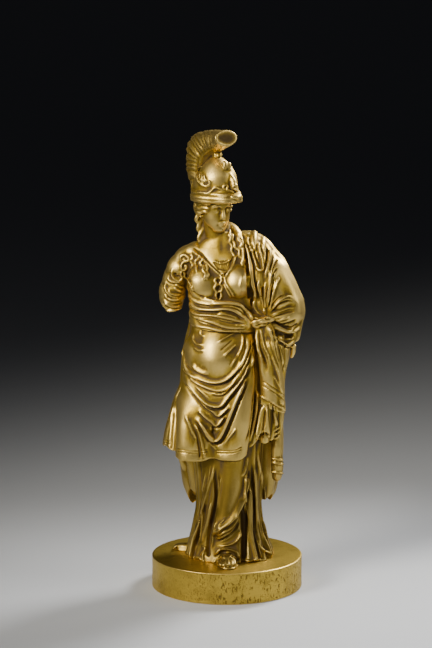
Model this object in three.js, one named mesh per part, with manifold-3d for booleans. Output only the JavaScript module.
// A cast and gilt bronze statuette of Athena on a round plinth, in millimetres, +Z up.
// The origin is the centre of the plinth's underside, and the figure looks along -Y.
// The figure is drawn in its own frame, with its soles at height 0, and is scaled to its height.
import * as THREE from "three";
import { ParametricGeometry } from "three/addons/geometries/ParametricGeometry.js";
import { mergeVertices } from "three/addons/utils/BufferGeometryUtils.js";
import Module from "manifold-3d";

const wasm = await Module();
wasm.setup();

// Driving sizes
const FIGURE_HEIGHT = 294; // soles to the top of the plume
const PLINTH_DIAMETER = 104;
const PLINTH_HEIGHT = 22;
const PLINTH_EDGE = 0.8; // worn rounding of the two rims
const PLINTH_FACETS = 72;

// The figure's drawing: every share below is in units of this drawn height.
const DRAWN_HEIGHT = 294;
const SCALE = FIGURE_HEIGHT / DRAWN_HEIGHT;
const TURN = 2 * Math.PI;

const lerp = THREE.MathUtils.lerp;
const radians = THREE.MathUtils.degToRad;
const clamp01 = (t) => THREE.MathUtils.clamp(t, 0, 1);
const ease = (t) => clamp01(t) * clamp01(t) * (3 - 2 * clamp01(t));

// A smooth curve through stations [place, value] that never overshoots them.
function along(stations, place) {
  const last = stations.length - 1;
  if (place <= stations[0][0]) return stations[0][1];
  if (place >= stations[last][0]) return stations[last][1];
  let i = 0;
  while (place > stations[i + 1][0]) i++;
  const secant = (k) =>
    (stations[k + 1][1] - stations[k][1]) / (stations[k + 1][0] - stations[k][0]);
  const tangent = (k) => {
    if (k === 0) return secant(0);
    if (k === last) return secant(last - 1);
    const before = secant(k - 1);
    const after = secant(k);
    return before * after <= 0 ? 0 : (2 * before * after) / (before + after);
  };
  const span = stations[i + 1][0] - stations[i][0];
  const t = (place - stations[i][0]) / span;
  const rest = 1 - t;
  return (
    stations[i][1] * (1 + 2 * t) * rest * rest +
    tangent(i) * span * t * rest * rest +
    stations[i + 1][1] * t * t * (3 - 2 * t) -
    tangent(i + 1) * span * t * t * rest
  );
}

// A closed body as a manifold solid, with its faces turned outwards.
function solid(geometry) {
  const bare = geometry.index ? geometry.toNonIndexed() : geometry.clone();
  bare.deleteAttribute("normal");
  bare.deleteAttribute("uv");
  const merged = mergeVertices(bare, 1e-4);
  const index = merged.index.array;
  const kept = [];
  for (let i = 0; i < index.length; i += 3) {
    const [a, b, c] = [index[i], index[i + 1], index[i + 2]];
    if (a !== b && b !== c && c !== a) kept.push(a, b, c);
  }
  const make = (triangles) =>
    new wasm.Manifold(
      new wasm.Mesh({
        numProp: 3,
        vertProperties: merged.attributes.position.array,
        triVerts: new Uint32Array(triangles),
      }),
    );
  const made = make(kept);
  return made.volume() > 0 ? made : make(kept.reverse());
}

// A solid as a three.js geometry.
function geometryOf(made) {
  const mesh = made.getMesh();
  const geometry = new THREE.BufferGeometry();
  geometry.setAttribute("position", new THREE.BufferAttribute(mesh.vertProperties, 3));
  geometry.setIndex(new THREE.BufferAttribute(mesh.triVerts, 1));
  geometry.computeVertexNormals();
  return geometry;
}

// The section of a column of cloth at one height: its centre and half sizes.
function section(column, z) {
  const west = along(column.west, z);
  const east = along(column.east, z);
  const front = along(column.front, z);
  const back = along(column.back, z);
  return {
    x: (west + east) / 2,
    y: (front + back) / 2,
    across: (east - west) / 2,
    deep: (back - front) / 2,
  };
}

// The point of a column at an angle from the front, 90 degrees being its east side.
function pointAt(column, angle, z) {
  const { x, y, across, deep } = section(column, z);
  const [s, c] = [Math.sin(angle), Math.cos(angle)];
  const p = column.power;
  const r = Math.pow(Math.pow(Math.abs(s) / across, p) + Math.pow(Math.abs(c) / deep, p), -1 / p);
  return new THREE.Vector3(x + r * s, y - r * c, z);
}

// The point of a column's front that lies behind a point of the drawn front view.
function pointBehind(column, x, z) {
  const cut = section(column, z);
  const share = Math.min(Math.abs(x - cut.x) / cut.across, 0.999);
  const depth = cut.deep * Math.pow(1 - Math.pow(share, column.power), 1 / column.power);
  const across = Math.sign(x - cut.x) * share * cut.across;
  return new THREE.Vector3(cut.x + across, cut.y - depth, z);
}

// Folds that fan out between a first and a last line of equally many points.
function fan(first, last, count, look) {
  return Array.from({ length: count }, (_, i) => {
    const t = count > 1 ? i / (count - 1) : 0;
    const line = first.map(([x, z], k) => [lerp(x, last[k][0], t), lerp(z, last[k][1], t)]);
    return { ...look, line };
  });
}

// A fold's centre line on its column, as points in space, from places in the front view.
function traced(column, fold) {
  const samples = 14;
  const flat = new THREE.CatmullRomCurve3(
    fold.line.map(([x, z]) => new THREE.Vector3(x, 0, z)),
    false,
    "centripetal",
  );
  return flat.getPoints(samples).map((p) => pointBehind(column, p.x, p.z));
}

// How high a fold stands at a point: a rounded ridge that fades out at its two ends.
function standing(fold, path, point) {
  const segment = new THREE.Line3();
  const nearest = new THREE.Vector3();
  let best = Infinity;
  let place = 0;
  for (let i = 0; i + 1 < path.length; i++) {
    segment.set(path[i], path[i + 1]);
    const t = segment.closestPointToPointParameter(point, true);
    const distance = segment.at(t, nearest).distanceTo(point);
    if (distance < best) {
      best = distance;
      place = (i + t) / (path.length - 1);
    }
  }
  const width = lerp(fold.width, fold.spread ?? fold.width, place);
  if (best >= width) return 0;
  const fade = fold.fade ?? 0.2;
  const starts = fold.open ? 1 : ease(place / fade);
  const stops = fold.open || fold.hangs ? 1 : ease((1 - place) / fade);
  return fold.height * Math.pow(1 - Math.pow(best / width, 2), 1.4) * starts * stops;
}

// Turns the diagonal of each square of a grid along its fold, so that ridges stay clean.
function alongFolds(geometry, slices, stacks, heights) {
  const index = geometry.index.array;
  for (let i = 0; i < stacks; i++) {
    for (let j = 0; j < slices; j++) {
      const a = i * (slices + 1) + j;
      const corners = [a, a + 1, a + slices + 2, a + slices + 1];
      const [h0, h1, h2, h3] = corners.map((k) => heights[k]);
      const first = Math.abs(h0 - h2) < Math.abs(h1 - h3) ? 0 : 1;
      const order = [0, 1, 2, 0, 2, 3].map((k) => corners[(k + first) % 4]);
      index.set(order, (i * slices + j) * 6);
    }
  }
  return geometry;
}

// A column of cloth: rings from its hem to its top, with every fold standing on them.
// Its courses say how its rings run, and its pleats stand on every other upright line.
function clothGeometry(column) {
  const folds = (column.folds ?? []).map((fold) => ({ fold, path: traced(column, fold) }));
  const relief = (point) => {
    let ridge = 0;
    let groove = 0;
    let swell = 0;
    for (const { fold, path } of folds) {
      const h = standing(fold, path, point);
      if (fold.swell) swell += h;
      else if (fold.height < 0) groove = Math.min(groove, h);
      else ridge = Math.max(ridge, h);
    }
    return ridge + groove + swell;
  };
  const { slices, rings, crowd = 0.3, pleats = () => 0, drift = (angle) => angle } = column;
  const stacks = rings + 2;
  const hem = column.hem ?? (() => column.bottom);
  const brim = column.brim ?? (() => column.top);
  const course = column.course ?? ((angle, level) => [lerp(hem(angle), brim(angle), level), 0]);
  const heights = [];
  const surface = (u, v, target) => {
    const even = u * TURN - Math.PI;
    const row = Math.round(v * stacks);
    const level = clamp01((row - 1) / rings);
    const upright = even - crowd * Math.sin(even);
    const [z, lift] = course(upright, level);
    const angle = drift(upright, z);
    const point = pointAt(column, angle, z);
    const out = relief(point) + lift + pleats(angle, z) * Math.cos((slices / 2) * even);
    target.set(point.x + Math.sin(angle) * out, point.y - Math.cos(angle) * out, z);
    if (row === 0 || row === stacks) {
      const end = row === 0 ? column.bottom + (column.recess ?? 0) : column.top + (column.dome ?? 0);
      const cut = section(column, end);
      target.set(cut.x, cut.y, end);
    }
    heights[row * (slices + 1) + Math.round(u * slices)] = out;
  };
  const grid = new ParametricGeometry(surface, slices, stacks);
  return alongFolds(grid, slices, stacks, heights);
}

const cloth = (column) => solid(clothGeometry(column));

// How much of something there is at an angle, in a window of so many degrees with soft ends.
function within(angle, from, to, soft = 15) {
  const degrees = (angle * 180) / Math.PI;
  return ease((degrees - from) / soft + 1) * ease((to - degrees) / soft + 1);
}

// A height that changes with the angle from the front, in degrees.
function edge(stations) {
  return (angle) => along(stations, (angle * 180) / Math.PI);
}

// A tapering limb, lock or roll of cloth along a smooth line of points with radii.
function limb(line, radii, { sides = 10, rings = 8, flat = 1, ripple = () => 0 } = {}) {
  const points = line.map((p) => new THREE.Vector3(...p));
  const path = new THREE.CatmullRomCurve3(points, false, "centripetal");
  const stations = radii.map((r, i) => [i / (radii.length - 1), r]);
  const frames = path.computeFrenetFrames(rings, false);
  const surface = (u, v, target) => {
    const row = Math.round(v * (rings + 2));
    const ring = THREE.MathUtils.clamp(row - 1, 0, rings);
    const t = ring / rings;
    path.getPointAt(t, target);
    if (row === 0 || row === rings + 2) return;
    const around = u * TURN;
    const r = along(stations, t) + ripple(t, around);
    target.addScaledVector(frames.normals[ring], Math.cos(around) * r);
    target.addScaledVector(frames.binormals[ring], Math.sin(around) * r * flat);
  };
  return solid(new ParametricGeometry(surface, sides, rings + 2));
}

// A rounded lump, turned about the upright by some degrees.
function lump(middle, sizes, turn = 0, detail = 12) {
  const geometry = new THREE.SphereGeometry(1, detail, Math.round(detail * 0.7));
  geometry.rotateX(Math.PI / 2);
  geometry.scale(...sizes);
  geometry.rotateZ(radians(turn));
  geometry.translate(...middle);
  return solid(geometry);
}

// The gown's skirt, from the hem on the plinth to under the overskirt.
function skirt() {
  const depth = (angle, z) => {
    const beside = 1 - within(angle, -24, 14, 10);
    return beside * (1.9 + 0.5 * Math.sin(3 * angle + 0.6)) * lerp(1.25, 0.8, clamp01(z / 60));
  };
  return cloth({
    bottom: 0,
    top: 96,
    power: 2.2,
    slices: 42,
    rings: 8,
    crowd: 0.35,
    pleats: depth,
    drift: (angle, z) => angle - 0.16 * within(angle, -60, 20, 30) * ease((50 - z) / 50),
    west: [[0, -26.5], [8, -24.5], [20, -22], [38, -19.5], [60, -21], [96, -26]],
    east: [[0, 31.5], [6, 29], [14, 26], [25, 23.5], [40, 22.5], [96, 25]],
    front: [[0, -27], [6, -25.5], [15, -23.5], [30, -22], [60, -21.5], [96, -24]],
    back: [[0, 29], [15, 26], [35, 22], [60, 20], [96, 20]],
    folds: [
      { line: [[4, 86], [4, 57], [1, 38], [-3, 24]], width: 9, height: 4.2, hangs: true },
      { line: [[16, 76], [13, 55], [8, 38], [1, 28], [-8, 21]], width: 3, height: 3.6, fade: 0.1 },
      { line: [[13, 46], [10, 32], [3, 20], [-8, 14]], width: 2.8, height: 3.4, fade: 0.15 },
      { line: [[-2, 80], [-6, 45], [-10, 24], [-11, 0]], width: 3, height: -4, open: true },
      { line: [[11, 34], [12, 16], [12, 0]], width: 3.2, height: -6, hangs: true },
      { line: [[-9, 1], [-6, 9], [0, 12], [6, 9], [10, 1]], width: 2.6, height: 3.4, fade: 0.1 },
    ],
  });
}

// The courses of the overskirt, from its hem to the waist: their heights at the right hip, at
// the lowest point, at the knot and behind, how round they hang, and how far they stand out.
const COURSES = [
  [89, 79, 100, 90, 1.2, 0, 90],
  [102, 80.5, 120, 104, 1.05, 0, 90],
  [115, 82, 140, 116, 0.95, 0.4, 90],
  [121, 85.5, 147, 122, 0.9, 4.4, 90],
  [123.5, 90.5, 148.5, 125, 0.95, 0.4, 90],
  [125, 95, 150, 127, 1, 2.2, 30],
  [126.5, 99, 151, 129, 1.05, 0, 90],
  [128, 102.5, 151.5, 131, 1.1, 2.2, 30],
  [129, 106, 152, 133, 1.15, 0, 90],
  [131, 109.5, 153, 135, 1.2, 3.4, 90],
  [134.5, 113, 154, 137, 1.4, 0.2, 90],
  [138, 116, 155, 139, 1.6, 1.8, 90],
  [141, 118, 155.5, 141, 1.8, 0, 90],
  [144, 120.5, 157, 144, 1.9, 3, 90],
  [147.5, 123.5, 157.5, 147, 2, 0, 90],
  [151, 127, 158, 150, 2, 2.2, 90],
  [153, 130.5, 159, 152, 2, 0, 90],
  [157, 141, 161, 157, 1.8, 0, 90],
  [161, 151, 164, 161, 1.5, 0, 90],
];
const HIP_ANGLE = -84;
const KNOT_ANGLE = 44;
const LOWEST_X = -7.5;

// The overskirt, from its bordered hem below the knees to the waist, caught up at the knot.
function overskirt() {
  const hem = edge([[-180, 76], [-95, 76], [-78, 78], [-55, 73.5], [-18, 73], [-6, 77], [0, 79],
    [8, 75], [30, 74], [42, 75], [62, 85], [100, 90], [140, 84], [180, 76]]);
  const column = {
    bottom: 73,
    top: 170,
    recess: 9,
    power: 2.3,
    slices: 42,
    rings: COURSES.length + 1,
    crowd: 0.4,
    west: [[73, -44.5], [85, -42.5], [100, -38.5], [110, -35.5], [120, -31.5], [130, -30.5],
      [144, -30], [155, -25], [164, -23], [170, -23]],
    east: [[73, 27], [100, 29], [125, 31], [140, 31], [150, 28], [160, 25], [170, 24]],
    front: [[73, -25.5], [85, -25.5], [100, -26], [120, -26], [140, -26], [150, -24], [160, -20.5],
      [170, -18]],
    back: [[73, 25], [90, 26], [120, 28], [140, 27], [150, 24], [160, 20], [170, 18]],
    pleats: (angle, z) => 1.6 * (1 - within(angle, -85, 60, 20)) * ease((160 - z) / 30),
    folds: [
      { line: [[-27, 108], [-27, 84], [-26, 73]], width: 9, height: 2.2, swell: true, hangs: true },
      { line: [[14, 124], [9, 100], [5, 73]], width: 11, height: 3, swell: true, hangs: true },
      { line: [[-10, 149], [-8, 138]], width: 15, height: 3, swell: true },
      { line: [[-20, 100], [-17, 86], [-14, 73]], width: 3, height: 2.6, hangs: true },
      { line: [[-33, 118], [-36.5, 97], [-37, 73]], width: 3, height: -4.5, open: true },
      { line: [[19, 150], [21, 126], [19, 105], [14, 73]], width: 3.2, height: -4.5, open: true },
    ],
  };
  const course = (angle, level) => {
    const row = Math.round(level * column.rings) - 1;
    if (row < 0) return [hem(angle), 0];
    if (row >= COURSES.length) return [column.top, 0];
    const [hip, low, knot, behind, roundness, lift, reach] = COURSES[row];
    const middle = section(column, low);
    const lowest = (Math.atan2(LOWEST_X - middle.x, middle.deep) * 180) / Math.PI;
    const degrees = (angle * 180) / Math.PI;
    const toHip = clamp01((lowest - degrees) / (lowest - HIP_ANGLE));
    const toKnot = clamp01((degrees - lowest) / (KNOT_ANGLE - lowest));
    const toOneSide = (hip - low) * Math.pow(toHip, roundness);
    const toTheOther = (knot - low) * Math.pow(toKnot, roundness);
    const round = ease((HIP_ANGLE - degrees) / 50) + ease((degrees - KNOT_ANGLE - 10) / 60);
    const shown = within(angle, lowest - reach, lowest + reach, 12) * within(angle, -72, 46, 14);
    return [lerp(low + toOneSide + toTheOther, behind, round), lift * shown];
  };
  return cloth({ ...column, course });
}

// The body from the waist to the shoulders, in a gown drawn in below the breast.
function torso() {
  return cloth({
    bottom: 152,
    top: 226,
    power: 2.3,
    slices: 28,
    rings: 11,
    crowd: 0.4,
    west: [[152, -25], [164, -24], [180, -26], [198, -28], [206, -28], [212, -25], [218, -19],
      [223, -13], [226, -9]],
    east: [[152, 25], [164, 24], [180, 25], [198, 27], [206, 27], [214, 24], [219, 16], [223, 8],
      [226, 2]],
    front: [[152, -21], [164, -19.5], [180, -20], [192, -20], [200, -18], [208, -14.5], [216, -11],
      [226, -9]],
    back: [[152, 19], [164, 17], [180, 18], [198, 20], [206, 20], [214, 17], [219, 13], [226, 8]],
    folds: [
      { line: [[-18, 192], [-17, 189]], width: 10.5, height: 5.5, swell: true, open: true },
      { line: [[6, 192], [6, 189]], width: 10, height: 5.5, swell: true, open: true },
      { line: [[-24, 217], [-15, 210], [-8, 202], [-3, 198], [2, 203], [9, 220]], width: 2.4, height: 2 },
      { line: [[-6, 190], [-6, 180]], width: 4, height: -2, open: true },
    ],
  });
}

// The sash round the waist, in long folds that draw together towards its knot.
function sash() {
  const hem = edge([[-180, 166], [-90, 163], [-20, 160], [60, 159], [120, 160], [180, 166]]);
  const brim = edge([[-180, 184], [-90, 189], [-45, 184], [-10, 181], [20, 179], [40, 172],
    [70, 170], [120, 174], [180, 184]]);
  const rings = 8;
  return cloth({
    bottom: 162,
    top: 180,
    recess: 3,
    power: 2.3,
    slices: 28,
    rings,
    crowd: 0.4,
    course: (angle, level) => {
      const fold = Math.round(level * rings) % 2 ? 2.2 : 0;
      return [lerp(hem(angle), brim(angle), level), fold * lerp(0.4, 1, within(angle, -95, 35, 20))];
    },
    west: [[158, -25.5], [175, -25.5], [190, -27.5]],
    east: [[158, 26], [175, 26], [190, 27]],
    front: [[158, -22.5], [170, -22], [180, -23], [190, -22]],
    back: [[158, 20], [175, 20.5], [190, 21]],
    folds: [{ line: [[14, 167], [22, 168]], width: 7, height: 3, swell: true, open: true }],
  });
}

// The mantle over the left shoulder and the bent arm, gathered in towards the knot.
function mantle() {
  const knot = -38;
  const gathered = (angle, z) => {
    const pull = 0.72 * Math.exp(-Math.pow((z - 172) / 22, 2)) * within(angle, -100, 40, 40);
    return lerp(angle, radians(knot), pull);
  };
  const depth = (angle, z) =>
    within(angle, -75, 12, 18) * 1.5 * ease((z - 166) / 16) + within(angle, 75, 155, 20) * 1.5;
  return cloth({
    bottom: 147,
    top: 225,
    recess: 8,
    power: 2.4,
    slices: 32,
    rings: 15,
    crowd: 0.3,
    pleats: depth,
    drift: gathered,
    hem: edge([[-180, 150], [0, 148], [50, 146.5], [90, 152], [140, 150], [180, 150]]),
    west: [[147, 22], [160, 15], [180, 10], [205, 7], [215, 6], [225, 9]],
    east: [[147, 46], [152, 48.5], [160, 50], [170, 52.3], [178, 51.5], [185, 48], [193, 44.5],
      [201, 40.3], [206, 38], [210, 34.5], [214, 31], [218, 28], [222, 23], [225, 16]],
    front: [[147, -9], [152, -12], [162, -17], [170, -19], [190, -20], [200, -19.5], [208, -16],
      [215, -12], [225, -4]],
    back: [[147, 17], [160, 20], [175, 22], [190, 21], [205, 19], [215, 15], [225, 8]],
    folds: [
      { line: [[38, 203], [46, 184], [49, 172]], width: 9, height: 2, swell: true, open: true },
      { line: [[26, 172], [33, 181], [43, 185]], width: 3, height: 2.4 },
      { line: [[25, 168], [31, 163], [39, 159], [52, 168]], width: 3.2, height: 3.6, open: true },
      { line: [[25, 158], [33, 152], [41, 149.5], [50, 151]], width: 3.2, height: 3.2, open: true },
      { line: [[28, 163], [37, 155.5], [46, 156], [52, 160]], width: 3.4, height: -3.5, open: true },
      { line: [[27, 176], [37, 174], [47, 178]], width: 4, height: -2.5 },
    ],
  });
}

// The mantle down the back, from the left shoulder and the right hip to its ragged lower edge.
function backMantle() {
  return cloth({
    bottom: 40,
    top: 222,
    recess: 14,
    dome: 1,
    power: 2.4,
    slices: 28,
    rings: 12,
    crowd: -0.35,
    hem: (angle) => 42 - 6 * Math.cos(4 * angle + 0.4) + 5 * Math.cos(9 * angle),
    brim: () => 222,
    pleats: (angle, z) => (1.7 + 0.5 * Math.sin(3 * angle)) * lerp(1.3, 0.7, clamp01((z - 60) / 120)),
    drift: (angle, z) => angle - 0.35 * ease((z - 110) / 90) * Math.sin(angle),
    west: [[31, -22], [38, -25], [46, -28], [61, -30], [90, -32], [130, -30], [150, -27],
      [164, -24.5], [185, -25], [200, -21], [212, -10], [222, 4]],
    east: [[31, 27], [41, 33], [50, 35], [60, 37], [75, 38], [130, 36], [150, 38], [170, 38],
      [190, 36], [205, 30], [214, 25], [222, 16]],
    front: [[31, 0], [100, -2], [150, -4], [200, -4], [222, 0]],
    back: [[31, 26], [60, 28], [100, 29], [140, 28], [165, 24], [180, 22.5], [198, 23], [208, 20],
      [216, 15], [222, 10]],
  });
}

// The cloth that hangs at the left hip, from behind the sash down to its curled lower edge.
function sideDrape() {
  return cloth({
    bottom: 82,
    top: 162,
    recess: 10,
    power: 2.2,
    slices: 20,
    rings: 8,
    hem: edge([[-180, 86], [-90, 84], [0, 82], [60, 86], [110, 74], [180, 86]]),
    west: [[80, 18], [120, 17], [162, 15]],
    east: [[74, 30], [90, 34], [110, 37], [127, 38.5], [140, 41], [162, 42]],
    front: [[80, -18], [100, -18], [130, -20], [162, -18]],
    back: [[80, 18], [120, 20], [162, 20]],
    pleats: () => 1.8,
  });
}

// The sash's long end, which widens from the knot to its fringe.
function hangingEnd() {
  return cloth({
    bottom: 112,
    top: 170,
    power: 3,
    slices: 18,
    rings: 6,
    crowd: 0.45,
    hem: edge([[-180, 108], [-60, 114.5], [0, 110], [60, 105], [180, 108]]),
    west: [[104, 22], [116, 22.5], [150, 20], [170, 18]],
    east: [[104, 39], [120, 39.5], [140, 37], [160, 32.5], [170, 28]],
    front: [[104, -25], [130, -26], [160, -25], [170, -24]],
    back: [[104, -14], [170, -14]],
    folds: fan([[20, 168], [22, 140], [25, 106]], [[28, 168], [34, 140], [37, 106]], 3,
      { width: 2.6, spread: 3.4, height: 2.6, open: true }),
  });
}

// The gathered corner of the mantle beside the left knee, ending in a tassel.
function tassel() {
  return limb(
    [[36, -6, 112], [36, -9, 98], [34.5, -9, 84], [34, -8, 72], [34.5, -7, 60], [34, -5, 48]],
    [5, 3.6, 2.8, 4.6, 5, 2.5],
    { sides: 8, rings: 9, flat: 0.85 },
  );
}

// The right upper arm in its gathered sleeve, which ends at the elbow.
function rightArm() {
  const gathers = (t) => 0.8 * Math.sin(t * TURN * 5);
  return limb(
    [[-14, 0, 212], [-24, 1, 208], [-31, 2, 201], [-35.5, 4, 191], [-37.5, 6, 181], [-36.5, 7, 170.5]],
    [7, 8.6, 8.8, 8.2, 8.8, 5],
    { sides: 12, rings: 14, ripple: gathers },
  );
}

// Where the head stands, and how far it turns to the statue's left.
const HEAD_MIDDLE = [-8.5, -4, 246];
const HEAD_TURN = 30;

// A place on the head: so far ahead of its middle, so far to its own left, and so far up.
function onHead(ahead, aside, up) {
  const [c, s] = [Math.cos(radians(HEAD_TURN)), Math.sin(radians(HEAD_TURN))];
  const [x, y, z] = HEAD_MIDDLE;
  return [x + s * ahead + c * aside, y - c * ahead + s * aside, z + up];
}

// The neck, the head, and the locks of hair that fall beside it.
function head() {
  const neck = limb([[-3, 3, 206], [-5.5, 1, 216], [-6.5, -1, 226], [-8, -3, 240]], [14, 9.6, 8.6, 9],
    { sides: 12, rings: 5 });
  const face = clothGeometry({
    bottom: -17,
    top: 17,
    power: 2.2,
    slices: 18,
    rings: 11,
    crowd: 0.45,
    west: [[-17, -3], [-15.5, -5.2], [-12, -7.4], [-8, -9], [-3, -10.2], [3, -10.8], [17, -9]],
    east: [[-17, 3], [-15.5, 5.2], [-12, 7.4], [-8, 9], [-3, 10.2], [3, 10.8], [17, 9]],
    front: [[-17, -8], [-15.5, -11.6], [-13, -12.6], [-11, -11.8], [-8, -12.2], [-1, -11.6],
      [3, -12.8], [17, -9]],
    back: [[-17, -2], [-14, 2], [-9, 8], [0, 12], [10, 13], [17, 9]],
    folds: [
      { line: [[0, 2.5], [0, -2], [0, -5.8]], width: 1.6, spread: 2.6, height: 3, hangs: true, fade: 0.6 },
      { line: [[-8.5, 1.6], [-4.5, 3.4], [0, 2.4], [4.5, 3.4], [8.5, 1.6]], width: 1.8, height: 0.9 },
      { line: [[-3, -9.4], [3, -9.4]], width: 2, height: 1.2 },
    ],
  });
  face.rotateZ(radians(HEAD_TURN));
  face.translate(...HEAD_MIDDLE);
  const locks = [
    limb([[-20, -1, 246], [-19.5, 1, 236], [-17.5, 1, 227], [-17.5, -1, 217]],
      [3.6, 3, 2.8, 2], { sides: 7, rings: 6 }),
    limb([[-1, 4, 233], [4, 1, 227.5], [8, -3, 223], [9.5, -9, 216], [9, -14, 208]],
      [2.4, 3.2, 3, 2.4, 1.2],
      { sides: 7, rings: 6 }),
    limb([[-17, -8, 214], [-19, -13, 208], [-15, -17, 202], [-14, -19, 196]],
      [1.6, 2, 2, 1.2], { sides: 5, rings: 6 }),
    lump(onHead(-12, -3, -5), [6, 5.5, 6.5], HEAD_TURN, 8),
  ];
  return wasm.Manifold.union([neck, solid(face), ...locks]);
}

// The helmet's bowl with its banded brim, drawn out over the brow into a peak.
function helmet() {
  const profile = [[0, -0.5], [14.5, -0.5], [16.9, 0], [17.1, 2.6], [16.3, 3.3], [17, 4],
    [16.9, 6.4], [15.7, 7.4], [15.6, 13], [14.6, 19], [12, 25], [8, 30], [4, 32.5], [0, 33.4]];
  const lean = [[0, 0], [8, 0.3], [20, 3], [28, 3.2], [34, 2]];
  const jut = [[-1, 3], [1, 5.4], [4, 4.6], [8, 2.6], [12, 0.6], [16, 0]];
  const stacks = profile.length - 1;
  const surface = (u, v, target) => {
    const angle = u * TURN - Math.PI;
    const [r, up] = profile[Math.round(v * stacks)];
    const peak = r < 1 ? 0 : along(jut, up) * Math.exp(-Math.pow(angle / radians(42), 4));
    const ahead = (r * 1.04 + peak) * Math.cos(angle) + along(lean, up);
    target.set(...onHead(ahead, (r * 0.95 + peak * 0.6) * Math.sin(angle), up + 1));
  };
  const knob = lump(onHead(12.5, 1, 27), [2.4, 2, 2.4], HEAD_TURN, 6);
  const snout = limb([onHead(17, 0, 9), onHead(18.6, 0, 13), onHead(17.4, 0, 18)],
    [3.2, 2.6, 2], { sides: 6, rings: 3 });
  const scroll = limb(
    [onHead(9, -15, 8), onHead(13, -12, 12), onHead(15.5, -8, 9), onHead(17.5, -4, 11),
      onHead(18.5, 0, 10)],
    [0.9, 1.3, 1.2, 1.3, 1],
    { sides: 5, rings: 8 },
  );
  const wing = limb(
    [onHead(-3, -12.6, 25), onHead(-5, -14.6, 18), onHead(0, -15.4, 12), onHead(6, -14.4, 13),
      onHead(7, -13.2, 18)],
    [1.2, 2.2, 2.6, 2, 1],
    { sides: 6, rings: 8 },
  );
  const stem = limb([onHead(3, 0, 29), onHead(2, 0, 34), onHead(1, 0, 39)],
    [4.2, 3.4, 4.4], { sides: 8, rings: 2 });
  const bowl = solid(new ParametricGeometry(surface, 20, stacks));
  return wasm.Manifold.union([bowl, knob, snout, scroll, wing, stem]);
}

// The horsehair plume: it rises from the nape, sweeps over the bowl and rolls forward.
function plume() {
  const inner = [[-12, 3], [-13, 14], [-12, 25], [-8, 31], [-1, 34], [8, 36.5], [15, 38], [23, 41]];
  const outer = [[-19, 0], [-26.5, 9], [-31, 22], [-31, 34], [-22.5, 43], [-7, 46.5], [11, 49],
    [27, 47.5]];
  const thick = [3, 4.4, 4.8, 5, 5, 5.5, 7, 5.4];
  const rings = 25;
  const barbs = 12;
  const stations = (list, k) => list.map((p, i) => [i / (list.length - 1), k === undefined ? p : p[k]]);
  const surface = (u, v, target) => {
    const row = Math.round(v * (rings + 2));
    const t = THREE.MathUtils.clamp(row - 1, 0, rings) / rings;
    const shut = row === 0 || row === rings + 2 ? 0 : 1;
    const around = u * TURN;
    const barb = 1 + 0.09 * Math.sin(t * TURN * barbs) * ease((0.9 - t) / 0.15);
    const reach = 0.5 + 0.5 * Math.cos(around) * barb * shut;
    const ahead = lerp(along(stations(inner, 0), t), along(stations(outer, 0), t), reach);
    const up = lerp(along(stations(inner, 1), t), along(stations(outer, 1), t), reach);
    const aside = along(stations(thick), t) * Math.sin(around) * shut;
    target.set(...onHead(ahead, aside, up));
  };
  return solid(new ParametricGeometry(surface, 8, rings + 2));
}

// The left foot in its sandal under the hem, and the toes of the right foot behind.
function feet() {
  const front = lump([0.5, -32, 1.5], [7.6, 11.5, 8.5], 4, 12);
  const toes = [-3, -1, 1, 2.8, 4.4].map((x, i) =>
    lump([x + 1.2, -41 + 0.5 * i, 2.2], [1.7 - 0.1 * i, 2.6, 2], 0, 6),
  );
  const rear = lump([-29, 9, 1.5], [9, 4.5, 3.5], -20, 10);
  const under = new THREE.BoxGeometry(DRAWN_HEIGHT, DRAWN_HEIGHT, DRAWN_HEIGHT);
  under.translate(0, 0, -DRAWN_HEIGHT / 2);
  return wasm.Manifold.union([front, rear, ...toes]).subtract(solid(under));
}

// The figure as one casting.
function figure() {
  const whole = wasm.Manifold.union([
    skirt(), overskirt(), torso(), sash(), mantle(), backMantle(), sideDrape(), hangingEnd(), tassel(),
    rightArm(), head(), helmet(), plume(), feet(),
  ]);
  // Small gaps left shut in between two layers of cloth are filled: the outermost skin is kept.
  const [skin] = whole.decompose().sort((a, b) => b.volume() - a.volume());
  const geometry = geometryOf(skin);
  geometry.scale(SCALE, SCALE, SCALE);
  return geometry;
}

// The plinth, a thick turned disc.
function plinth() {
  const [r, h, e] = [PLINTH_DIAMETER / 2, PLINTH_HEIGHT, PLINTH_EDGE];
  const outline = [[0, 0], [r - e, 0], [r, e], [r, h - e], [r - e, h], [0, h]];
  const disc = new THREE.LatheGeometry(outline.map(([x, z]) => new THREE.Vector2(x, z)), PLINTH_FACETS);
  disc.rotateX(Math.PI / 2);
  return geometryOf(solid(disc));
}

const GILT = new THREE.MeshStandardMaterial({ color: "#b48a3c", metalness: 1, roughness: 0.34 });
const GILT_PLINTH = new THREE.MeshStandardMaterial({ color: "#ab8440", metalness: 1, roughness: 0.45 });

const statue = new THREE.Group();

const figureMesh = new THREE.Mesh(figure(), GILT);
figureMesh.name = "figure";
figureMesh.position.z = PLINTH_HEIGHT;
statue.add(figureMesh);

const plinthMesh = new THREE.Mesh(plinth(), GILT_PLINTH);
plinthMesh.name = "plinth";
statue.add(plinthMesh);

export default statue;
